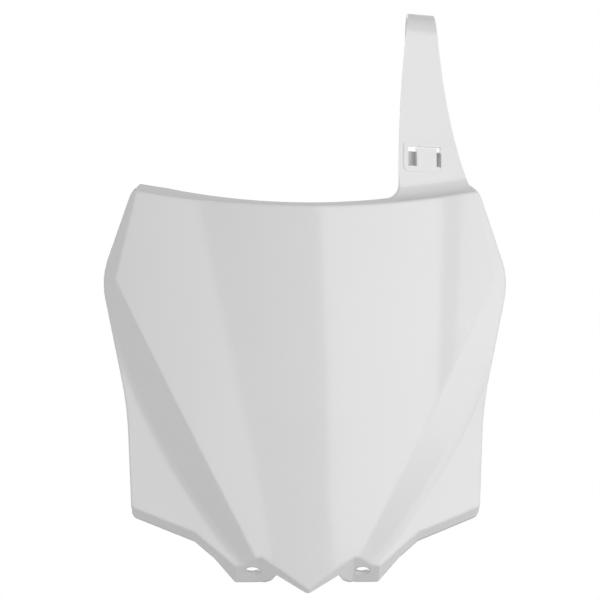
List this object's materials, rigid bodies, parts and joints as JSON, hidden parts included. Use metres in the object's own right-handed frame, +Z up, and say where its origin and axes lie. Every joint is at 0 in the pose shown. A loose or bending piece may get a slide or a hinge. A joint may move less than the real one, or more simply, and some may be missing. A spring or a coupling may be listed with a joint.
{
  "type": "motorcycle front number plate",
  "caption": "Moulded white number plate for an off-road motorcycle, with a shield front, swept wings, two bolt tabs and a buckled bar strap.",
  "frame": {"origin": "midway between the two bolt holes, on the outer face of the tabs", "axes": "+X to the viewer's right as the plate is seen from the front, +Y to the back, +Z up along the plate"},
  "size_m": [0.2406, 0.0597, 0.346],
  "materials": {
    "white_shell": "gloss"
  },
  "bodies": {
    "root": {"number_plate": "white_shell"}
  },
  "joints": []
}
